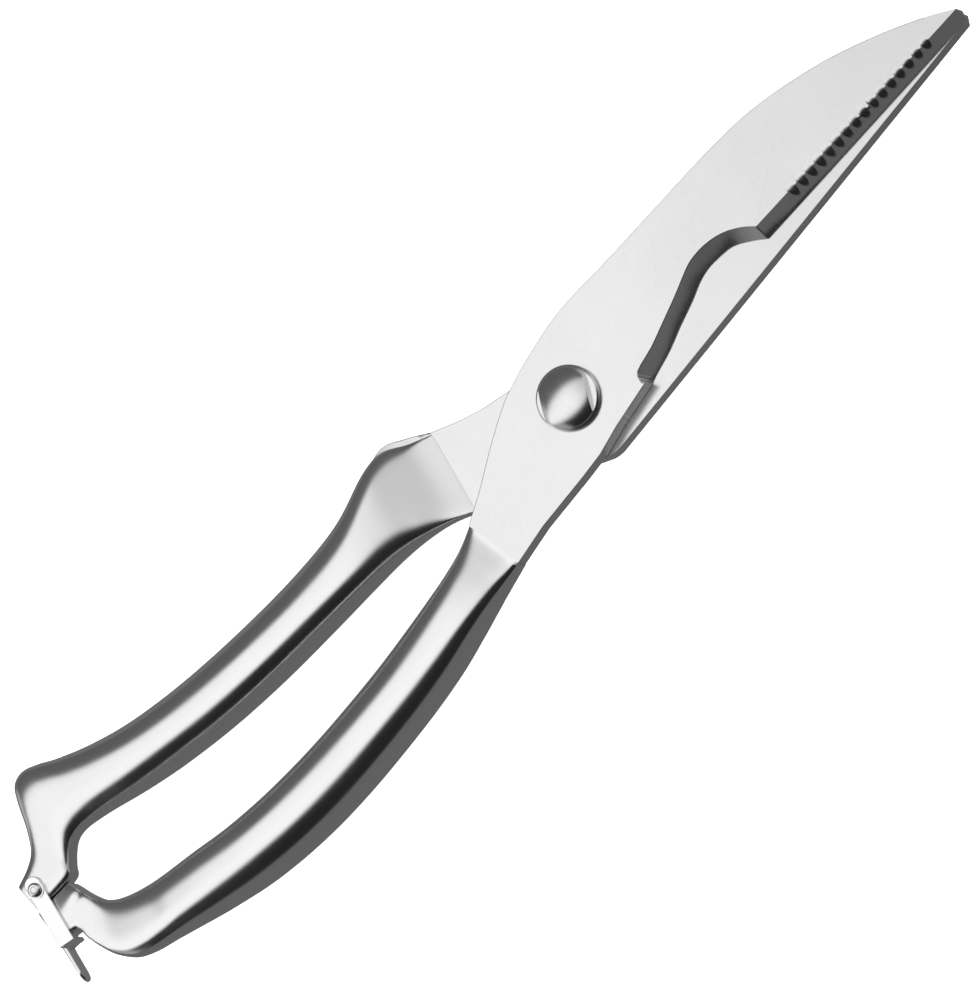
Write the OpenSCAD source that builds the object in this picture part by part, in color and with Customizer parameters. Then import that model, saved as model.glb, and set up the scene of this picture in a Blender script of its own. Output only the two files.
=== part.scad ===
// Poultry shears: two blades on one pivot, hollow handles and a swinging latch.
// The origin is on the pivot's axis, in the plane that the shears lie on. +X runs to the blade tips.

/* [Blades] */
// Thickness of each blade plate
plate_t = 4.1; // [3.6:0.1:4.4]
// Gap between the two plates
plate_gap = 0.1; // [0.06:0.02:0.2]
// Length from the pivot's axis to the blade tips
blade_reach = 104; // [98:1:112]
// Number of scallops along the front blade's edge
scallops = 16; // [8:1:18]
// Radius of one scallop
scallop_r = 0.95; // [0.6:0.05:1.1]

/* [Handles] */
// Full thickness of a handle, and twice the height of the joint plane over the table
handle_t = 13.6; // [13.2:0.1:15]
// Wall of a handle's half shell
wall = 1.2; // [0.9:0.1:1.4]
// Thickness of the tang inside each handle
tang_t = 2.6; // [1.6:0.1:2.8]

/* [Pivot] */
// Diameter of the bolt's flange and of the nut's head
flange_d = 12.6; // [11:0.2:14]
// Thickness of the bolt's flange
flange_t = 1.1; // [0.8:0.1:1.6]
// Height of the dome over the flange
dome_h = 2.1; // [1.6:0.1:2.8]
// Outer diameter of the nut's barrel, which both plates turn on
barrel_d = 8; // [7:0.5:8.5]
// Screw diameter
screw_d = 5; // [4:0.5:5.5]
// Radial running clearance of the front plate on the barrel
pivot_play = 0.04; // [0.02:0.01:0.08]

/* [Latch] */
// Width of the latch's bar
bar_w = 3.3; // [2.8:0.1:3.6]
// Sheet thickness of the latch
bar_t = 0.8; // [0.7:0.1:1]
// Distance from the rivet to the outside of the latch's bridge
bar_reach = 12; // [11.9:0.05:12.3]
// Height of the bridge
bridge_h = 6; // [5:0.1:6.4]
// Height of the thumb tail
tail_h = 4.6; // [3:0.1:5]
// Length of the thumb tail beyond the bridge
tail_l = 7.6; // [5:0.2:9]
// Shank diameter of the latch's rivet
rivet_d = 1.8; // [1.4:0.1:2]

/* [Hidden] */

// Heights, all counted from the plane that the shears lie on
joint_z = handle_t / 2;
front_z = joint_z + plate_gap / 2;
front_top = front_z + plate_t;
rear_top = joint_z - plate_gap / 2;
rear_z = rear_top - plate_t;
edge_land = 0.35;
scallop_tilt = 45;

// Pivot details
flange_r = flange_d / 2;
washer_t = 0.3;
washer_z = front_top + 0.05;
flange_z = washer_z + washer_t;
wrench_near = 0.71;
wrench_far = 0.8;
wrench_turn = -28;
barrel_r = barrel_d / 2;
screw_r = screw_d / 2;
thread_play = 0.05;

// Spring in its pocket round the barrel
spring_wire = 1.1;
spring_r = 5.4;
spring_turns = 2.4;
spring_pitch = 1.25;
pocket_r = spring_r + 0.85;
pocket_depth = 2.1;
wire_sides = 8;
turn_steps = 20;

// Latch details: its axis, the tabs that it lies on and the way its bar points
latch_x = -139.7;
latch_y = 5;
latch_turn = -100;
tab_t = 3;
tab_top = joint_z + tab_t;
bar_z = tab_top + 0.1;
latch_play = 0.05;
bar_end = 2.8;
rivet_head_r = 1.4;
rivet_head_h = 0.75;
latch_washer_r = 1.7;
latch_washer_t = 0.2;

// Number of curve steps between two points, and of points over a shell's arc
curve_steps = 5;
ring_steps = 4;
arc_steps = 16;

// A smooth curve through points of any length, rounded at every point
function between(a, b, c, d, t) =
    0.5 * (2 * b + (c - a) * t + (2 * a - 5 * b + 4 * c - d) * t * t + (3 * b - a - 3 * c + d) * t * t * t);
function curve(pts, steps) = [
    for (i = [0 : len(pts) - 2])
        for (k = [0 : steps - 1])
            between(pts[max(i - 1, 0)], pts[i], pts[i + 1], pts[min(i + 2, len(pts) - 1)], k / steps),
    pts[len(pts) - 1]
];

// Blades: points beyond the ricasso move out with the blade's reach
ricasso_x = 12.5;
reach_k = (blade_reach - ricasso_x) / (104 - ricasso_x);
function reach(p) = p.x > ricasso_x ? [ricasso_x + (p.x - ricasso_x) * reach_k, p.y] : p;

front_back = [
    for (p = [
        [-30.5, -3.8], [-24.5, -0.4], [-18, 3.8], [-12, 7.3], [-7.8, 9.3], [0, 11.7], [10, 13.7], [24, 14.2],
        [38, 14.9], [49, 15.4], [60, 15.4], [70, 14], [80, 11.6], [90, 8], [98, 4.4], [103.7, 1.2]
    ]) reach(p)
];
front_edge = [
    for (p = [
        [47.7, -3.9], [45, -1.9], [41.7, -0.1], [38.5, 0.3], [35.2, 0.2],
        [32.3, -0.6], [29, -2.1], [24, -4], [19.5, -5.9], [14.7, -7.4], [12.9, -8.2]
    ]) reach(p)
];
front_face = [
    for (p = [
        [48.2, -1.7], [46, 0.2], [42.6, 2], [38.6, 2.8], [34.6, 2.5],
        [31.4, 1.3], [27.8, -0.3], [22.8, -2.3], [18.2, -4.1], [13.2, -5.6], [12.3, -7.7]
    ]) reach(p)
];
front_neck = [[3.3, -10.3], [-2.6, -12], [-8, -12.8], [-14, -13.5], [-20, -14.2], [-28, -15.9]];
tip_edge = reach([103.3, -0.7]);
tip_face = reach([103.8, 1.2]);
first_scallop = reach([58, 0]).x;
last_scallop = reach([95, 0]).x;

rear_spine = [for (p = [[102.2, -0.7], [12.5, -11.1]]) reach(p)];
rear_heel = [
    [-0.5, -12.6], [-2.2, -12.4], [-3.9, -11.7], [-5.8, -10.8], [-12, -8], [-20, -4.8], [-28.4, -1.5]
];
rear_edge = [
    for (p = [[103.2, 1], [94, 2.6], [78, 4], [60, 4.9], [40, 5.4], [24, 6.2], [12.5, 8.6]]) reach(p)
];
rear_face = [
    for (p = [[102, 0.2], [94, 0.8], [78, 1.5], [60, 2.1], [40, 2.5], [26, 3.4], [15, 6.4]]) reach(p)
];
rear_neck = [[12.5, 8.6], [4, 10.6], [-8, 10.6], [-14.4, 11.8], [-19, 13.2], [-25, 15.6]];

front_tang = [[-26, -5], [-26, -13.5], [-34, -14.6], [-62, -20.6], [-62, -15], [-34, -8.4]];
rear_tang = [[-24, 12], [-24, 1.6], [-34, 3.4], [-62, 4.6], [-62, 11], [-34, 13.6]];

// Handles: rings from the neck to the end, each with its -Y side, its +Y side,
// its height over and under the joint plane, and how square its section is
rear_rings = [
    [-28.4, -1.5, -25, 15.6, 0.15, 4.15, 6],
    [-33, 0.1, -29.5, 18.2, 1.4, 4.6, 5],
    [-38.5, 1.3, -34.2, 20.2, 3.4, 5.3, 4],
    [-45, 1.9, -39.6, 18.8, 5.4, 6, 3.4],
    [-53, 1.9, -50, 15.3, 6.5, 6.6, 3],
    [-64, 1.6, -63, 13.8, 6.8, 6.8, 2.8],
    [-78, 1.5, -78, 13.6, 6.8, 6.8, 2.8],
    [-91, 2.1, -92, 14.3, 6.8, 6.8, 2.8],
    [-103, 3.5, -104, 15.9, 6.6, 6.6, 2.8],
    [-112, 5.2, -113, 18.3, 5.9, 5.9, 3],
    [-119, 6.9, -120, 21.1, 5, 5, 3.2]
];
rear_end = [
    [-122.5, 7.6, -124, 23.2, 4.4, 4.4, 3.4],
    [-125.5, 8, -127.2, 24.3, 3.9, 3.9, 3.7],
    [-128, 7.6, -130, 23.4, 3.6, 3.6, 4],
    [-130, 6.2, -131.8, 20.3, 3.3, 3.3, 4.5],
    [-131.8, 4.2, -133.6, 15.9, tab_t, tab_t, 5],
    [-133.2, 2.6, -135.8, 11.9, tab_t, tab_t, 6],
    [-137.5, 2.1, -138.4, 9.9, tab_t, tab_t, 6],
    [-142.2, 2.1, -142.2, 8.4, tab_t, tab_t, 6]
];
front_rings = [
    [-28, -15.9, -30.5, -3.8, 4.15, 0.3, 6],
    [-33, -17.1, -35, -5.6, 4.6, 1.7, 5],
    [-38, -18.3, -40, -7.1, 5.3, 3.6, 4],
    [-44, -19.9, -46, -8.3, 6, 5.4, 3.4],
    [-52, -22, -54, -9.7, 6.6, 6.5, 3],
    [-63, -24, -64, -11.2, 6.8, 6.8, 2.8],
    [-79, -25.8, -79, -12.8, 6.8, 6.8, 2.8],
    [-92, -26.2, -92, -13.2, 6.8, 6.8, 2.8],
    [-104, -25.3, -103, -12.6, 6.6, 6.6, 2.8],
    [-114, -23.3, -112, -11.2, 5.9, 5.9, 3],
    [-122, -21.2, -119.5, -10, 5, 5, 3.2]
];
front_end = [
    [-126.5, -20, -123.5, -9, 4.3, 4.3, 3.4],
    [-130.5, -19, -127, -7.9, 3.8, 3.8, 3.7],
    [-134, -17.4, -129.6, -6.6, 3.4, 3.4, 4],
    [-136.4, -14.6, -131.3, -5, 3.1, 3.1, 4.5],
    [-137.7, -11.4, -132.2, -3.4, tab_t, tab_t, 5],
    [-138.4, -8.6, -132.7, -2.3, tab_t, tab_t, 6],
    [-139, -5.9, -133, -1.5, tab_t, tab_t, 6],
    [-142.7, -5.2, -133.2, -0.8, tab_t, tab_t, 6],
    [-143.1, -2.4, -133.5, 0.3, tab_t, tab_t, 6],
    [-142.8, 2.8, -134.2, 2.8, tab_t, tab_t, 6]
];
front_tab_y = 1.8;

// One ring's arc, from its -Y side over the top to its +Y side
function arc_point(r, height, inset, a) =
    let (
        middle = [r[0] + r[2], r[1] + r[3]] / 2,
        across = [r[2] - r[0], r[3] - r[1]] / 2,
        k = 1 - inset / norm(across),
        u = -sign(cos(a)) * pow(abs(cos(a)), 2 / r[6]),
        v = pow(abs(sin(a)), 2 / r[6])
    )
    [middle.x + across.x * k * u, middle.y + across.y * k * u, (height - inset) * v];
function arc(r, height, inset) = [
    for (j = [0 : arc_steps]) arc_point(r, height, inset, 180 * j / arc_steps)
];

// A half shell over the seam plane, with a pocket between two of its rings.
// A pocket that starts at ring 0 is open at the neck, where the tang goes in.
module half_shell(rings, heights, first, last) {
    n = len(rings) - 1;
    m = arc_steps;
    w = m + 1;
    inner = w * (n + 1);
    skin = [for (i = [0 : n]) each arc(rings[i], heights[i], 0)];
    pocket = [for (i = [first : last]) each arc(rings[i], heights[i], wall)];
    function o(i, j) = i * w + j;
    function q(i, j) = inner + (i - first) * w + j;
    outside = [for (i = [0 : n - 1]) for (j = [0 : m - 1]) [o(i, j), o(i + 1, j), o(i + 1, j + 1), o(i, j + 1)]];
    inside = [
        for (i = [first : last - 1]) for (j = [0 : m - 1]) [q(i, j), q(i, j + 1), q(i + 1, j + 1), q(i + 1, j)]
    ];
    seam = [
        for (i = [first : last - 1]) each [
            [o(i, 0), q(i, 0), q(i + 1, 0), o(i + 1, 0)],
            [q(i, m), o(i, m), o(i + 1, m), q(i + 1, m)]
        ]
    ];
    before = first == 0 ? [] : [
        for (i = [0 : first - 1])
            i == first - 1
                ? [o(i, 0), o(i, m), o(i + 1, m), q(i + 1, m), q(i + 1, 0), o(i + 1, 0)]
                : [o(i, 0), o(i, m), o(i + 1, m), o(i + 1, 0)]
    ];
    after = [
        for (i = [last : n - 1])
            i == last
                ? [o(i, 0), q(i, 0), q(i, m), o(i, m), o(i + 1, m), o(i + 1, 0)]
                : [o(i, 0), o(i, m), o(i + 1, m), o(i + 1, 0)]
    ];
    neck_end = first == 0
        ? [[for (j = [0 : m]) o(0, j), for (j = [m : -1 : 0]) q(0, j)]]
        : [[for (j = [0 : m]) o(0, j)], [for (j = [m : -1 : 0]) q(first, j)]];
    far_end = [[for (j = [m : -1 : 0]) o(n, j)], [for (j = [0 : m]) q(last, j)]];
    polyhedron(
        points = concat(skin, pocket),
        faces = concat(outside, inside, seam, before, after, neck_end, far_end),
        convexity = 10
    );
}

// A wedge that grinds a blade's edge: it follows the face line and the edge line together
module bevel_cut(face, edge, face_z, edge_z) {
    n = len(face) - 1;
    up = sign(face_z - edge_z);
    function past(p, q, t) = p + (q - p) * t;
    rings = [
        for (i = [0 : n])
            let (
                a = [face[i].x, face[i].y, face_z],
                b = [edge[i].x, edge[i].y, edge_z],
                start = past(b, a, 1.2),
                stop = past(a, b, 1.4)
            )
            each [start, stop, [stop.x, stop.y, face_z + up * 2], [start.x, start.y, face_z + up * 2]]
    ];
    sides = [
        for (i = [0 : n - 1])
            for (j = [0 : 3])
                let (a = 4 * i + j, b = 4 * i + (j + 1) % 4)
                [a, a + 4, b + 4, b]
    ];
    ends = [[0, 1, 2, 3], [4 * n + 3, 4 * n + 2, 4 * n + 1, 4 * n]];
    polyhedron(points = rings, faces = concat(sides, ends), convexity = 6);
}

module plate(outline, z, thickness) {
    translate([0, 0, z]) linear_extrude(thickness) polygon(outline);
}

module spring_pocket(z) {
    translate([0, 0, z]) cylinder(r = pocket_r, h = pocket_depth + 1, $fn = 96);
}

module front_blade() {
    slope = (tip_face.y - front_face[0].y) / (tip_face.x - front_face[0].x);
    pitch = (last_scallop - first_scallop) / (scallops - 1);
    color([0.88, 0.88, 0.87]) difference() {
        union() {
            plate(
                concat(curve(front_back, curve_steps), [tip_edge], curve(front_edge, 3), front_neck),
                front_z, plate_t
            );
            plate(front_tang, front_z, tang_t);
        }
        bevel_cut(
            concat([tip_face + [3, 0.1]], curve(front_face, 3)),
            concat([tip_edge + [3, 0.1]], curve(front_edge, 3)),
            front_top, front_z + edge_land
        );
        for (i = [0 : scallops - 1])
            let (x = first_scallop + i * pitch)
                translate([x, front_face[0].y + (x - front_face[0].x) * slope - 0.2, front_top])
                    rotate([-scallop_tilt, 0, 0]) cylinder(r = scallop_r, h = 8, center = true, $fn = 48);
        translate([0, 0, front_z - 1]) cylinder(r = barrel_r + pivot_play, h = plate_t + 2, $fn = 96);
        spring_pocket(front_z - 1);
    }
}

module rear_blade() {
    color([0.9, 0.9, 0.89]) difference() {
        union() {
            plate(
                concat(rear_spine, curve(rear_heel, 4), [for (i = [len(rear_neck) - 1 : -1 : 1]) rear_neck[i]],
                    [for (i = [len(rear_edge) - 1 : -1 : 0]) rear_edge[i]]),
                rear_z, plate_t
            );
            plate(rear_tang, rear_top - tang_t, tang_t);
        }
        bevel_cut(rear_face, rear_edge, rear_z, rear_top - edge_land);
        translate([0, 0, rear_z - 1]) cylinder(r = barrel_r + 0.02, h = plate_t + 2, $fn = 96);
        spring_pocket(rear_top - pocket_depth);
    }
}

module rivet_hole() {
    translate([latch_x, latch_y, 0]) cylinder(r = rivet_d / 2 + 0.03, h = handle_t, $fn = 48);
}

module handle_shell(rings, end_rings, side, first) {
    all = concat(curve(rings, ring_steps), end_rings);
    last = len(all) - len(end_rings) - 1;
    heights = [for (r = all) r[side > 0 ? 4 : 5]];
    translate([0, 0, joint_z]) mirror([0, 0, side > 0 ? 0 : 1]) half_shell(all, heights, first, last);
}

// Cuts the front tab square, just short of the rear one
module tab_cut() {
    translate([-150, front_tab_y, -1]) cube([20, 5, handle_t + 2]);
}

module front_handle_top() {
    color([0.83, 0.83, 0.82]) difference() {
        handle_shell(front_rings, front_end, 1, 0);
        tab_cut();
    }
}

module front_handle_bottom() {
    color([0.8, 0.8, 0.79]) difference() {
        handle_shell(front_rings, front_end, -1, 2 * ring_steps);
        tab_cut();
    }
}

module rear_handle_top() {
    color([0.83, 0.83, 0.82]) difference() {
        handle_shell(rear_rings, rear_end, 1, 2 * ring_steps);
        rivet_hole();
    }
}

module rear_handle_bottom() {
    color([0.8, 0.8, 0.79]) difference() {
        handle_shell(rear_rings, rear_end, -1, 0);
        rivet_hole();
    }
}

module pivot_bolt() {
    color([0.75, 0.75, 0.75]) union() {
        intersection() {
            rotate_extrude($fn = 96) polygon(concat(
                [[0, flange_z + flange_t], [flange_r * 0.97, flange_z + flange_t]],
                [for (a = [0 : 10 : 90]) [flange_r * 0.97 * cos(a), flange_z + flange_t + dome_h * sin(a)]]
            ));
            rotate([0, 0, wrench_turn]) translate([-flange_r * wrench_far, -flange_r, 0])
                cube([flange_r * (wrench_far + wrench_near), flange_d, handle_t * 2]);
        }
        translate([0, 0, flange_z]) cylinder(r = flange_r, h = flange_t, $fn = 96);
        translate([0, 0, rear_z + 0.4]) cylinder(r = screw_r, h = flange_z - rear_z, $fn = 64);
    }
}

module pivot_nut() {
    color([0.7, 0.7, 0.7]) difference() {
        union() {
            cylinder(r1 = flange_r - 0.4, r2 = flange_r, h = 0.4, $fn = 96);
            translate([0, 0, 0.4]) cylinder(r = flange_r, h = rear_z - 0.4, $fn = 96);
            cylinder(r = barrel_r, h = front_top, $fn = 96);
        }
        translate([0, 0, 1.2]) cylinder(r = screw_r + thread_play, h = handle_t, $fn = 64);
        for (side = [-1, 1])
            translate([side * 4 - 0.6, -0.6, -1]) cylinder(r = 0.7, h = 1.8, $fn = 32);
    }
}

module pivot_washer() {
    color([0.65, 0.65, 0.65]) translate([0, 0, washer_z]) difference() {
        cylinder(r = flange_r - 0.4, h = washer_t, $fn = 96);
        translate([0, 0, -1]) cylinder(r = screw_r + 0.1, h = 2, $fn = 64);
    }
}

// Round wire wound up through the pocket
module pivot_spring() {
    steps = round(spring_turns * turn_steps);
    rise = spring_turns * spring_pitch;
    points = [
        for (i = [0 : steps])
            for (j = [0 : wire_sides - 1])
                let (
                    turn = 360 * spring_turns * i / steps,
                    a = 360 * j / wire_sides,
                    r = spring_r + spring_wire / 2 * cos(a)
                )
                [
                    r * cos(turn), r * sin(turn),
                    joint_z - rise / 2 + rise * i / steps + spring_wire / 2 * sin(a)
                ]
    ];
    sides = [
        for (i = [0 : steps - 1])
            for (j = [0 : wire_sides - 1])
                let (a = wire_sides * i + j, b = wire_sides * i + (j + 1) % wire_sides)
                [a, b, b + wire_sides, a + wire_sides]
    ];
    ends = [
        [for (j = [wire_sides - 1 : -1 : 0]) j],
        [for (j = [0 : wire_sides - 1]) wire_sides * steps + j]
    ];
    color([0.55, 0.55, 0.57]) polyhedron(points = points, faces = concat(sides, ends), convexity = 8);
}

module at_latch() {
    translate([latch_x, latch_y, 0]) rotate([0, 0, latch_turn]) children();
}

module latch() {
    half = bar_w / 2;
    foot = bar_z + bar_t - bridge_h;
    color([0.92, 0.92, 0.91]) at_latch() difference() {
        union() {
            translate([-bar_end + half, 0, bar_z]) cylinder(r = half, h = bar_t, $fn = 64);
            translate([-bar_end + half, -half, bar_z]) cube([bar_reach + bar_end - half, bar_w, bar_t]);
            translate([bar_reach - bar_t, -half, foot]) cube([bar_t, bar_w, bridge_h]);
            translate([bar_reach - bar_t, -half, foot]) cube([tail_l + bar_t - tail_h / 2, bar_t, tail_h]);
            translate([bar_reach + tail_l - tail_h / 2, -half, foot + tail_h / 2])
                rotate([-90, 0, 0]) cylinder(r = tail_h / 2, h = bar_t, $fn = 64);
        }
        translate([0, 0, bar_z - 1]) cylinder(r = rivet_d / 2 + latch_play, h = bar_t + 2, $fn = 48);
    }
}

module latch_rivet() {
    head_z = bar_z + bar_t + latch_washer_t + 0.1;
    foot_z = joint_z - tab_t;
    color([0.7, 0.7, 0.7]) translate([latch_x, latch_y, 0]) union() {
        translate([0, 0, foot_z]) cylinder(r = rivet_d / 2, h = head_z - foot_z, $fn = 48);
        translate([0, 0, head_z]) cylinder(r1 = rivet_head_r, r2 = rivet_head_r * 0.7, h = rivet_head_h, $fn = 48);
        translate([0, 0, foot_z - 0.6]) cylinder(r1 = rivet_head_r * 0.8, r2 = rivet_head_r, h = 0.6, $fn = 48);
    }
}

module latch_washer() {
    color([0.8, 0.8, 0.8]) translate([latch_x, latch_y, bar_z + bar_t + 0.05]) difference() {
        cylinder(r = latch_washer_r, h = latch_washer_t, $fn = 48);
        translate([0, 0, -1]) cylinder(r = rivet_d / 2 + 0.04, h = 2, $fn = 48);
    }
}

front_blade();
rear_blade();
front_handle_top();
front_handle_bottom();
rear_handle_top();
rear_handle_bottom();
pivot_bolt();
pivot_nut();
pivot_washer();
pivot_spring();
latch();
latch_rivet();
latch_washer();
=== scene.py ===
import bpy
import bmesh
from math import cos, sin, pi, radians
from mathutils import Matrix, Vector


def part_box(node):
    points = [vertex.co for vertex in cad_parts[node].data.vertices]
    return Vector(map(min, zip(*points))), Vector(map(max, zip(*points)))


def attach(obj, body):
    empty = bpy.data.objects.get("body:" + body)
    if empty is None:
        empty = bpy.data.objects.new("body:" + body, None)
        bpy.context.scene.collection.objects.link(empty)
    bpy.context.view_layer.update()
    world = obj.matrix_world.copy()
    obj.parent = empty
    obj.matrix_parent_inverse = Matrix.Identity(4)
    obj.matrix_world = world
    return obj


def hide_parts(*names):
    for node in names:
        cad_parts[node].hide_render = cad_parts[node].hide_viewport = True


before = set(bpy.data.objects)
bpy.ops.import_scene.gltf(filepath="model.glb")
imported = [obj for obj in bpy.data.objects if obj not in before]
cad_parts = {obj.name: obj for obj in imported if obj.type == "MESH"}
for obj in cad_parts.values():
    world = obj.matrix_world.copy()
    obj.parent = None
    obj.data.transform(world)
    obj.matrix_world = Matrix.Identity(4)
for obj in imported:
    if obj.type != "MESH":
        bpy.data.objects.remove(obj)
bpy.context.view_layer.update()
mm = 0.001
print("frame loaded,", len(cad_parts), "nodes")

# height of the plane where the two plates meet, in mm
jointHeight = (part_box("front_blade")[0].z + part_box("rear_blade")[1].z) / 2 / mm


# steels: metal with a fine grain, cloudy polish and small specks
def steel(name, finish):
    material = bpy.data.materials.new(name)
    material.use_nodes = True
    tree = material.node_tree
    shader = tree.nodes["Principled BSDF"]
    shader.inputs["Metallic"].default_value = 1.0
    place = tree.nodes.new("ShaderNodeTexCoord").outputs["Object"]

    def noise(vector, scale, detail):
        made = tree.nodes.new("ShaderNodeTexNoise")
        made.inputs["Scale"].default_value = scale
        made.inputs["Detail"].default_value = detail
        tree.links.new(vector, made.inputs["Vector"])
        return made.outputs["Fac"]

    def between(value, start, stop, low, high):
        made = tree.nodes.new("ShaderNodeMapRange")
        for key, number in (("From Min", start), ("From Max", stop), ("To Min", low), ("To Max", high)):
            made.inputs[key].default_value = number
        tree.links.new(value, made.inputs["Value"])
        return made.outputs["Result"]

    def math(kind, a, b):
        made = tree.nodes.new("ShaderNodeMath")
        made.operation = kind
        tree.links.new(a, made.inputs[0])
        tree.links.new(b, made.inputs[1])
        return made.outputs[0]

    turned = tree.nodes.new("ShaderNodeMapping")
    turned.inputs["Rotation"].default_value = (0, 0, radians(finish["grainTurn"]))
    turned.inputs["Scale"].default_value = finish["grain"]
    tree.links.new(place, turned.inputs["Vector"])
    grain = noise(turned.outputs["Vector"], 1.0, 4.0)
    cloud = noise(place, finish["cloud"], 3.0)
    speck = noise(place, finish["speck"], 2.0)

    # roughness: cloudy polish plus the grain
    smear, fine = finish["roughCloud"], finish["roughGrain"]
    rough = between(cloud, 0.3, 0.7, finish["rough"] - smear, finish["rough"] + smear)
    rough = math("ADD", rough, between(grain, 0.3, 0.7, -fine, fine))
    tree.links.new(rough, shader.inputs["Roughness"])

    # tone: specks and clouds, and on a blade painted shade that darkens it towards its tip, where the
    # softbox's light falls off
    vary = finish["vary"]
    tone = math(
        "MULTIPLY", between(speck, 0.3, 0.7, 1 - vary, 1 + vary), between(cloud, 0.3, 0.7, 1 - vary, 1 + vary)
    )
    # painted shade: the base colour darkens from 10 mm to 100 mm along X, standing in for light falling off
    # towards the tip
    if finish["paintedTipShade"]:
        split = tree.nodes.new("ShaderNodeSeparateXYZ")
        tree.links.new(place, split.inputs[0])
        tipShade = between(split.outputs["X"], 10 * mm, 100 * mm, 1.0, 1 - finish["paintedTipShade"])
        tone = math("MULTIPLY", tone, tipShade)
    paint = tree.nodes.new("ShaderNodeVectorMath")
    paint.operation = "SCALE"
    paint.inputs[0].default_value = finish["tone"]
    tree.links.new(tone, paint.inputs["Scale"])
    tree.links.new(paint.outputs["Vector"], shader.inputs["Base Color"])

    # bump: grain lines under fine specks
    normal = None
    for height, strength in ((grain, finish["grainBump"]), (speck, finish["speckBump"])):
        bump = tree.nodes.new("ShaderNodeBump")
        bump.inputs["Strength"].default_value = strength
        bump.inputs["Distance"].default_value = 0.02 * mm
        tree.links.new(height, bump.inputs["Height"])
        if normal:
            tree.links.new(normal, bump.inputs["Normal"])
        normal = bump.outputs["Normal"]
    tree.links.new(normal, shader.inputs["Normal"])
    return material


# the blade's tip setting paints shade into its base colour, darker towards the tip
bladeFinish = {
    "tone": (0.865, 0.865, 0.86), "vary": 0.012, "paintedTipShade": 0.19,
    "rough": 0.24, "roughCloud": 0.02, "roughGrain": 0.02,
    "grain": (9000, 350, 350), "grainTurn": 12, "grainBump": 0.04,
    "cloud": 60, "speck": 2500, "speckBump": 0.04,
}
handleFinish = {
    "tone": (0.865, 0.865, 0.86), "vary": 0.01, "paintedTipShade": 0,
    "rough": 0.21, "roughCloud": 0.02, "roughGrain": 0.01,
    "grain": (1500, 1500, 1500), "grainTurn": 20, "grainBump": 0.02,
    "cloud": 80, "speck": 3500, "speckBump": 0.03,
}
polishFinish = {
    "tone": (0.82, 0.82, 0.82), "vary": 0.015, "paintedTipShade": 0,
    "rough": 0.21, "roughCloud": 0.02, "roughGrain": 0.02,
    "grain": (2500, 500, 500), "grainTurn": 60, "grainBump": 0.04,
    "cloud": 150, "speck": 2500, "speckBump": 0.04,
}
latchFinish = {
    "tone": (0.97, 0.97, 0.965), "vary": 0.01, "paintedTipShade": 0,
    "rough": 0.2, "roughCloud": 0.02, "roughGrain": 0.01,
    "grain": (700, 5000, 700), "grainTurn": 100, "grainBump": 0.03,
    "cloud": 120, "speck": 2500, "speckBump": 0.03,
}
springFinish = {
    "tone": (0.42, 0.42, 0.44), "vary": 0.05, "paintedTipShade": 0,
    "rough": 0.32, "roughCloud": 0.05, "roughGrain": 0.04,
    "grain": (2500, 2500, 400), "grainTurn": 0, "grainBump": 0.1,
    "cloud": 300, "speck": 2500, "speckBump": 0.1,
}
steels = {
    "blade_steel": steel("bladeSteel", bladeFinish),
    "handle_steel": steel("handleSteel", handleFinish),
    "polished_steel": steel("polishedSteel", polishFinish),
    "latch_steel": steel("latchSteel", latchFinish),
    "spring_steel": steel("springSteel", springFinish),
}
print("materials made:", len(steels))


# what every finished piece gets
def finishPiece(bm, name, body, slot, standsFor, smoothAngle=35):
    bmesh.ops.recalc_face_normals(bm, faces=bm.faces)
    mesh = bpy.data.meshes.new(name)
    bm.to_mesh(mesh)
    bm.free()
    mesh.shade_smooth()
    mesh.set_sharp_from_angle(angle=radians(smoothAngle))
    mesh.materials.append(steels[slot])
    piece = bpy.data.objects.new(name, mesh)
    bpy.context.scene.collection.objects.link(piece)
    normals = piece.modifiers.new("evenNormals", "WEIGHTED_NORMAL")
    normals.keep_sharp = True
    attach(piece, body)
    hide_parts(standsFor)
    print("built", name, "with", len(mesh.polygons), "faces")


# a copy of a CAD node with its flat faces whole again, for rounding its edges
def copyOf(node):
    bm = bmesh.new()
    bm.from_mesh(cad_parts[node].data)
    bmesh.ops.remove_doubles(bm, verts=bm.verts, dist=0.0005 * mm)
    bmesh.ops.dissolve_limit(bm, angle_limit=radians(0.5), verts=bm.verts, edges=bm.edges)
    return bm


def roundEdges(bm, width, wanted, segments=3):
    edges = [
        e for e in bm.edges
        if e.is_manifold and e.calc_face_angle(0) > radians(25)
        and wanted(e.verts[0].co / mm, e.verts[1].co / mm)
    ]
    bmesh.ops.bevel(
        bm, geom=edges, offset=width * mm, offset_type="OFFSET", affect="EDGES", segments=segments,
        profile=0.5, material=-1, clamp_overlap=False, loop_slide=True
    )


# a profile in the XZ plane, as (radius, height) in mm, turned into a solid
def turnProfile(points, steps):
    bm = bmesh.new()
    verts = [bm.verts.new((r * mm, 0, z * mm)) for r, z in points]
    edges = [bm.edges.new(pair) for pair in zip(verts, verts[1:])]
    bmesh.ops.spin(
        bm, geom=verts + edges, cent=(0, 0, 0), axis=(0, 0, 1), angle=2 * pi, steps=steps, use_merge=True
    )
    bmesh.ops.remove_doubles(bm, verts=bm.verts, dist=0.001 * mm)
    bmesh.ops.recalc_face_normals(bm, faces=bm.faces)
    return bm


# blades: the scallops stay sharp, and so do the tangs and the ends that meet the handles
bladeLook = {
    "edgeRound": 0.15, "neck": -23, "tang": -30.6, "tip": 98,
    "scallopsLow": (56.5, -4.5, 7), "scallopsHigh": (97, 3, 11.2),
}


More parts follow.
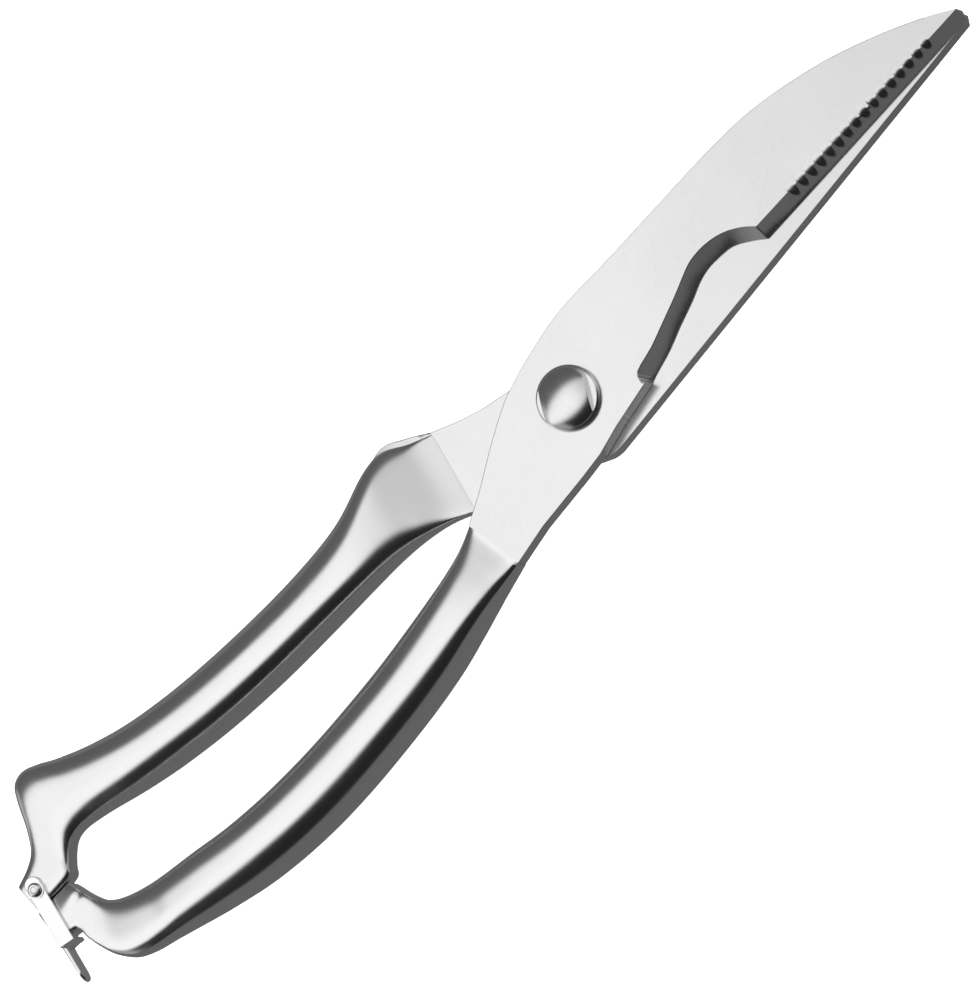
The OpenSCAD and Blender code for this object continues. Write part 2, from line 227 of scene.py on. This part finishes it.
def bladeEdge(start, stop):
    low, high = bladeLook["scallopsLow"], bladeLook["scallopsHigh"]
    inScallops = any(all(low[k] < p[k] < high[k] for k in range(3)) for p in (start, stop))
    way = stop - start
    neckEnd = min(start.x, stop.x) < bladeLook["neck"] and abs(way.y) > abs(way.x)
    inside = all(bladeLook["tang"] < p.x < bladeLook["tip"] for p in (start, stop))
    return inside and not inScallops and not neckEnd


for side in ("front", "rear"):
    bm = copyOf(side + "_blade")
    roundEdges(bm, bladeLook["edgeRound"], bladeEdge)
    finishPiece(bm, side + "Blade", side + "_half", "blade_steel", side + "_blade")

# handles: two half shells each, a smooth skin through rings with a pocket inside
handleLook = {
    "across": 40, "steps": 6, "wall": 1.2, "pocketEnd": 10, "tabRound": 0.4, "lipHeight": 0.35,
    "leastLip": 0.02,
    # the lip's outline from the seam inwards, in shares of its width and height
    "lipShape": ((0, 0), (0, 0.4), (0.15, 0.85), (1, 1)),
}
tab = 3.0
# rings from the neck to the end: -Y side, +Y side, height over and under the joint,
# squareness, lip on the +Y side, shift of the crown towards +Y
rearRings = [
    [-28.4, -1.5, -25, 15.6, 0.06, 4.15, 14, 0.5, 0], [-33, 0.1, -29.5, 18.2, 1.1, 4.6, 5.5, 1.3, 0],
    [-38.5, 1.3, -34.2, 20.2, 3.1, 5.3, 4, 1.0, 0], [-45, 1.9, -39.6, 18.8, 5.0, 6, 3.4, 0.1, 0],
    [-53, 1.9, -50, 15.3, 6.3, 6.6, 3, 0, -0.5], [-64, 1.6, -63, 13.8, 6.8, 6.8, 2.8, 0, -0.4],
    [-78, 1.5, -78, 13.6, 6.8, 6.8, 2.8, 0, -0.2], [-91, 2.1, -92, 14.3, 6.8, 6.8, 2.8, 0, -0.1],
    [-103, 3.5, -104, 15.9, 6.6, 6.6, 2.8, 0, 0], [-112, 5.2, -113, 18.3, 5.9, 5.9, 3, 0, 0],
    [-119, 6.9, -120, 21.1, 5, 5, 3.2, 0, 0],
    [-122.5, 7.6, -124, 23.2, 4.4, 4.4, 3.4, 0, 0], [-125.5, 8, -127.2, 24.3, 3.9, 3.9, 3.7, 0, 0],
    [-128, 7.6, -130, 23.4, 3.6, 3.6, 4, 0, 0], [-130, 6.2, -131.8, 20.3, 3.3, 3.3, 4.5, 0, 0],
    [-131.8, 4.2, -133.6, 15.9, tab, tab, 5, 0, 0], [-133.2, 2.6, -135.8, 11.9, tab, tab, 6, 0, 0],
    [-137.5, 2.1, -138.4, 9.9, tab, tab, 6, 0, 0], [-142.2, 2.1, -142.2, 8.4, tab, tab, 6, 0, 0],
]
frontRings = [
    [-28, -15.9, -30.5, -3.8, 4.15, 0.15, 16, 0, 0], [-29.3, -16.2, -31.6, -4.2, 4.2, 0.5, 9, 0, 0],
    [-33, -17.1, -35, -5.6, 4.9, 1.7, 5, 0, 0],
    [-38, -18.3, -40, -7.1, 5.8, 3.6, 4, 0, 0], [-44, -19.9, -46, -8.3, 6.45, 5.4, 3.4, 0, 0],
    [-52, -22, -54, -9.7, 6.7, 6.5, 3, 0, 0.15], [-63, -24, -64, -11.2, 6.8, 6.8, 2.8, 0, 0.35],
    [-79, -25.8, -79, -12.8, 6.8, 6.8, 2.8, 0, 0.7], [-92, -26.2, -92, -13.2, 6.8, 6.8, 2.8, 0, 0.8],
    [-104, -25.3, -103, -12.6, 6.6, 6.6, 2.8, 0, 0.8], [-114, -23.3, -112, -11.2, 5.9, 5.9, 3, 0, 0.6],
    [-122, -21.2, -119.5, -10, 5, 5, 3.2, 0, 0.3],
    [-126.5, -20, -123.5, -9, 4.3, 4.3, 3.4, 0, 0], [-130.5, -19, -127, -7.9, 3.8, 3.8, 3.7, 0, 0],
    [-134, -17.4, -129.6, -6.6, 3.4, 3.4, 4, 0, 0], [-136.4, -14.6, -131.3, -5, 3.1, 3.1, 4.5, 0, 0],
    [-137.7, -11.4, -132.2, -3.4, tab, tab, 5, 0, 0], [-138.4, -8.6, -132.7, -2.3, tab, tab, 6, 0, 0],
    [-139, -5.9, -133, -1.5, tab, tab, 6, 0, 0], [-142.7, -5.2, -133.2, -0.8, tab, tab, 6, 0, 0],
    [-143.1, -2.4, -133.5, 0.3, tab, tab, 6, 0, 0], [-142.9, 1.8, -134, 1.8, tab - 0.35, tab, 6, 0, 0],
]


# a ring between two others, on a smooth curve through all of them
def ringAt(rings, t):
    i = min(int(t), len(rings) - 2)
    f = t - i
    a, b, c, d = rings[max(i - 1, 0)], rings[i], rings[i + 1], rings[min(i + 2, len(rings) - 1)]
    return [
        0.5 * (2 * q + (r - p) * f + (2 * p - 5 * q + 4 * r - s) * f * f + (3 * q - p - 3 * r + s) * f ** 3)
        for p, q, r, s in zip(a, b, c, d)
    ]


# a point of a ring's arc; an inset above 0 is the pocket's wall, and the lip is a step on the +Y side
def sectionPoint(ring, side, share, inset):
    near, far = Vector(ring[0:2]), Vector(ring[2:4])
    height = (ring[4] if side > 0 else ring[5]) - inset
    lip = ring[7] if side > 0 and inset == 0 else 0
    if lip > handleLook["leastLip"]:
        column = round((1 - share) * handleLook["across"])
        toNear = (near - far).normalized()
        if column < len(handleLook["lipShape"]):
            inward, rise = handleLook["lipShape"][column]
            lipHeight = min(handleLook["lipHeight"], height / 2)
            point = far + toNear * lip * inward
            return Vector((point.x, point.y, jointHeight + lipHeight * rise)) * mm
        far = far + toNear * lip * min(1, share * 2)
    middle, across = (near + far) / 2, (far - near) / 2
    power = ring[6]
    c, s = -cos(pi * share), max(sin(pi * share), 0)
    size = (abs(c) ** power + s ** power) ** (-1 / power)
    flat = middle + across * (1 - inset / across.length) * c * size
    flat += across.normalized() * max(side, 0) * ring[8] * s * size
    return Vector((flat.x, flat.y, jointHeight + side * height * s * size)) * mm


def placeGrid(bm, rings, side, first, last, inset):
    along, across = (last - first) * handleLook["steps"], handleLook["across"]
    made = bmesh.ops.create_grid(bm, x_segments=along, y_segments=across, size=0.5)["verts"]
    rows = {}
    for v in made:
        i, j = round((v.co.x + 0.5) * along), round((v.co.y + 0.5) * across)
        rows.setdefault(i, {})[j] = v
        v.co = sectionPoint(ringAt(rings, first + i / handleLook["steps"]), side, j / across, inset)
    return [[rows[i][j] for j in sorted(rows[i])] for i in sorted(rows)]


def buildShell(name, body, rings, side, first, standsFor):
    bm = bmesh.new()
    skin = placeGrid(bm, rings, side, 0, len(rings) - 1, 0)
    pocket = placeGrid(bm, rings, side, first, handleLook["pocketEnd"], handleLook["wall"])
    tabEnd = bm.faces.new(skin[-1])
    bm.faces.new(pocket[-1])
    if first == 0:
        bm.faces.new(skin[0] + pocket[0][::-1])
    else:
        bm.faces.new(skin[0])
        bm.faces.new(pocket[0])
    seam = [e for e in bm.edges if len(e.link_faces) == 1]
    bmesh.ops.triangle_fill(bm, edges=seam, use_beauty=True)
    bmesh.ops.recalc_face_normals(bm, faces=bm.faces)
    tabEdges = [e for e in tabEnd.edges if e.calc_face_angle(0) > radians(30)]
    bmesh.ops.bevel(
        bm, geom=tabEdges, offset=handleLook["tabRound"] * mm, affect="EDGES", segments=4,
        profile=0.5, material=-1, clamp_overlap=True
    )
    finishPiece(bm, name, body, "handle_steel", standsFor)


buildShell("frontHandleTop", "front_half", frontRings, 1, 0, "front_handle_top")
buildShell("frontHandleBottom", "front_half", frontRings, -1, 3, "front_handle_bottom")
buildShell("rearHandleTop", "rear_half", rearRings, 1, 2, "rear_handle_top")
buildShell("rearHandleBottom", "rear_half", rearRings, -1, 0, "rear_handle_bottom")

# latch: the bar's edges are barely broken, and the thin tail's edges are well rounded
latchLook = {"turn": -100, "barRound": 0.15, "tailRound": 0.33, "tailStart": 12.2}
rivetLow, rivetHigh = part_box("latch_rivet")
rivetPlace = Vector(((rivetLow.x + rivetHigh.x) / 2, (rivetLow.y + rivetHigh.y) / 2, 0)) / mm
barWay = Matrix.Rotation(radians(latchLook["turn"]), 3, "Z") @ Vector((1, 0, 0))


def onTail(start, stop):
    return ((start + stop) / 2 - rivetPlace).dot(barWay) > latchLook["tailStart"]


bm = copyOf("latch")
roundEdges(bm, latchLook["tailRound"], onTail)
roundEdges(bm, latchLook["barRound"], lambda start, stop: not onTail(start, stop), segments=2)
finishPiece(bm, "latchLever", "latch", "latch_steel", "latch")

# bolt: a round flange on its shank, with a low dome that has two flats for a wrench
boltLow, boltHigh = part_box("pivot_bolt")
boltLook = {
    "rim": (boltHigh.x - boltLow.x) / 2 / mm, "dome": 2.1, "flange": 1.1, "shank": 2.5,
    "near": 0.71, "far": 0.77, "turn": -28, "flatRound": 0.15, "steps": 96,
}
rim = boltLook["rim"]
flangeTop = boltHigh.z / mm - boltLook["dome"]
flangeLow = flangeTop - boltLook["flange"]
bm = turnProfile([
    (0, boltLow.z / mm), (boltLook["shank"], boltLow.z / mm), (boltLook["shank"], flangeLow),
    (rim - 0.15, flangeLow), (rim, flangeLow + 0.15), (rim, flangeTop - 0.45),
    (rim - 0.12, flangeTop - 0.17), (rim - 0.4, flangeTop), (0, flangeTop),
], boltLook["steps"])
domeRim = rim * 0.97
domeArc = [radians(7.5 * k) for k in range(1, 12)]
dome = turnProfile(
    [(0, flangeTop - 0.3), (domeRim, flangeTop - 0.3), (domeRim, flangeTop)]
    + [(domeRim * cos(a), flangeTop + boltLook["dome"] * sin(a)) for a in domeArc]
    + [(0, flangeTop + boltLook["dome"])],
    boltLook["steps"]
)
for way, share in ((1, boltLook["near"]), (-1, boltLook["far"])):
    direction = Matrix.Rotation(radians(boltLook["turn"]), 3, "Z") @ Vector((way, 0, 0))
    cut = bmesh.ops.bisect_plane(
        dome, geom=dome.verts[:] + dome.edges[:] + dome.faces[:], dist=0.0001 * mm,
        plane_co=direction * rim * share * mm, plane_no=direction, clear_outer=True
    )
    rimEdges = [g for g in cut["geom_cut"] if isinstance(g, bmesh.types.BMEdge)]
    flat = bmesh.ops.holes_fill(dome, edges=rimEdges, sides=0)["faces"]
    bmesh.ops.bevel(
        dome, geom=[e for f in flat for e in f.edges], offset=boltLook["flatRound"] * mm, affect="EDGES",
        segments=3, profile=0.5, material=-1, clamp_overlap=True
    )
domeMesh = bpy.data.meshes.new("boltDome")
dome.to_mesh(domeMesh)
dome.free()
bm.from_mesh(domeMesh)
bpy.data.meshes.remove(domeMesh)
finishPiece(bm, "pivotBolt", "rear_half", "polished_steel", "pivot_bolt", 30)

# latch rivet: a shank with a low turned head over the washer and a peened foot
rivetLook = {"shank": 0.9, "footWide": 1.35, "footHigh": 0.6, "head": 1.4, "headHigh": 0.75, "dimple": 0.24}
foot, headTop = rivetLow.z / mm, rivetHigh.z / mm
head, shank = rivetLook["head"], rivetLook["shank"]
headLow = headTop - rivetLook["headHigh"]
bm = turnProfile([
    (0, foot), (shank, foot), (rivetLook["footWide"] - 0.2, foot + 0.12),
    (rivetLook["footWide"], foot + rivetLook["footHigh"]), (shank, foot + rivetLook["footHigh"] + 0.02),
    (shank, headLow), (head, headLow), (head, headLow + 0.3), (head - 0.15, headTop - 0.15),
    (head - 0.42, headTop), (head * 0.5, headTop - 0.03), (head * 0.42, headTop - 0.2),
    (0, headTop - rivetLook["dimple"]),
], 48)
bmesh.ops.translate(bm, verts=bm.verts, vec=rivetPlace * mm)
finishPiece(bm, "latchRivet", "rear_half", "polished_steel", "latch_rivet", 30)

# CAD nodes that keep their shape
for node, slot in (
    ("pivot_nut", "polished_steel"), ("pivot_washer", "polished_steel"),
    ("pivot_spring", "spring_steel"), ("latch_washer", "latch_steel"),
):
    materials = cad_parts[node].data.materials
    materials.clear()
    materials.append(steels[slot])
print("pieces made")

# studio: a glowing pale floor with a low wall round it, which the steel doesn't reflect
studioLook = {"floorGlow": 0.93, "floorTone": 0.8, "radius": 9.0, "wall": 9.0, "drop": 0.02}


def buildStudio():
    bm = bmesh.new()
    bmesh.ops.create_circle(bm, cap_ends=True, radius=studioLook["radius"], segments=96)
    raised = bmesh.ops.extrude_edge_only(bm, edges=[e for e in bm.edges if e.is_boundary])["geom"]
    wallTop = [g for g in raised if isinstance(g, bmesh.types.BMVert)]
    bmesh.ops.translate(bm, verts=wallTop, vec=(0, 0, studioLook["wall"]))
    bmesh.ops.translate(bm, verts=bm.verts, vec=(0, 0, -studioLook["drop"] * mm))
    mesh = bpy.data.meshes.new("studioFloor")
    bm.to_mesh(mesh)
    bm.free()
    material = bpy.data.materials.new("paleFloor")
    material.use_nodes = True
    shader = material.node_tree.nodes["Principled BSDF"]
    tone = studioLook["floorTone"]
    shader.inputs["Base Color"].default_value = (tone, tone, tone, 1)
    shader.inputs["Roughness"].default_value = 0.9
    shader.inputs["Specular IOR Level"].default_value = 0.0
    shader.inputs["Emission Color"].default_value = (1, 1, 1, 1)
    shader.inputs["Emission Strength"].default_value = studioLook["floorGlow"]
    mesh.materials.append(material)
    floor = bpy.data.objects.new("studioFloor", mesh)
    bpy.context.scene.collection.objects.link(floor)
    floor.visible_glossy = False


# light by direction: a long softbox overhead, dark walls that are paler on the +Y side and far along X,
# and grey below the horizon; the softbox's two borders are leans towards +Y, in degrees
lightLook = {
    "ground": (0.135, 0.175), "groundEdge": (-0.3, 0.6), "horizon": (-0.04, 0.04),
    "wall": (0.017, 0.112), "wallEdge": (-0.1, 0.4), "ends": 0.35, "endsEdge": (0.62, 0.8),
    "boxGlow": 1.1, "boxLow": (-21, -5), "boxHigh": (22, 30), "boxLoss": 0.4, "lossEdge": (-0.15, 0.5),
}


def buildWorld():
    world = bpy.data.worlds.new("studioLight")
    bpy.context.scene.world = world
    world.use_nodes = True
    tree = world.node_tree
    back = tree.nodes["Background"]
    coords = tree.nodes.new("ShaderNodeTexCoord")
    split = tree.nodes.new("ShaderNodeSeparateXYZ")
    tree.links.new(coords.outputs["Generated"], split.inputs[0])

    def math(kind, a, b):
        made = tree.nodes.new("ShaderNodeMath")
        made.operation = kind
        for k, value in enumerate((a, b)):
            if isinstance(value, (int, float)):
                made.inputs[k].default_value = value
            else:
                tree.links.new(value, made.inputs[k])
        return made.outputs[0]

    def smooth(value, edge, levels=(0, 1)):
        made = tree.nodes.new("ShaderNodeMapRange")
        made.interpolation_type = "SMOOTHSTEP"
        for key, number in zip(("From Min", "From Max", "To Min", "To Max"), (*edge, *levels)):
            made.inputs[key].default_value = number
        tree.links.new(value, made.inputs["Value"])
        return made.outputs["Result"]

    look = lightLook
    x, y, z = split.outputs
    above = smooth(z, look["horizon"])
    below = math("SUBTRACT", 1, above)
    wall = smooth(y, look["wallEdge"], look["wall"])
    wall = math("ADD", wall, smooth(math("ABSOLUTE", x, 0), look["endsEdge"], (0, look["ends"])))
    ground = smooth(y, look["groundEdge"], look["ground"])
    dim = math("ADD", math("MULTIPLY", above, wall), math("MULTIPLY", below, ground))
    lean = math("ARCTAN2", y, z)            # of a ray from straight up, towards +Y
    lowEdge = [radians(a) for a in look["boxLow"]]
    highEdge = [radians(a) for a in look["boxHigh"]]
    box = math("MULTIPLY", smooth(lean, lowEdge), smooth(lean, highEdge, (1, 0)))
    box = math("MULTIPLY", box, above)
    box = math("MULTIPLY", box, smooth(x, look["lossEdge"], (1, 1 - look["boxLoss"])))
    light = math("MAXIMUM", dim, math("MULTIPLY", box, look["boxGlow"]))
    tree.links.new(light, back.inputs["Strength"])
    back.inputs["Color"].default_value = (1, 1, 1, 1)


# camera: far off, so nearly without perspective, looking down over the -Y side and turned on its axis
cameraLook = {
    "distance": 3.0, "target": (-23.5, -4.3, 15.2), "viewHeight": 186.9,
    "right": (0.698, -0.633, -0.334), "up": (0.689, 0.7205, 0.0728),
}


def buildCamera():
    look = cameraLook
    right, up = Vector(look["right"]).normalized(), Vector(look["up"])
    up = (up - right * up.dot(right)).normalized()
    back = right.cross(up)
    data = bpy.data.cameras.new("camera")
    data.lens = data.sensor_width * look["distance"] / (look["viewHeight"] * mm)
    data.clip_end = 60
    camera = bpy.data.objects.new("camera", data)
    bpy.context.scene.collection.objects.link(camera)
    place = Vector(look["target"]) * mm + back * look["distance"]
    camera.matrix_world = Matrix.Translation(place) @ Matrix((right, up, back)).transposed().to_4x4()
    bpy.context.scene.camera = camera


buildStudio()
buildWorld()
buildCamera()
bpy.context.scene.view_settings.view_transform = "Standard"
print("studio made")
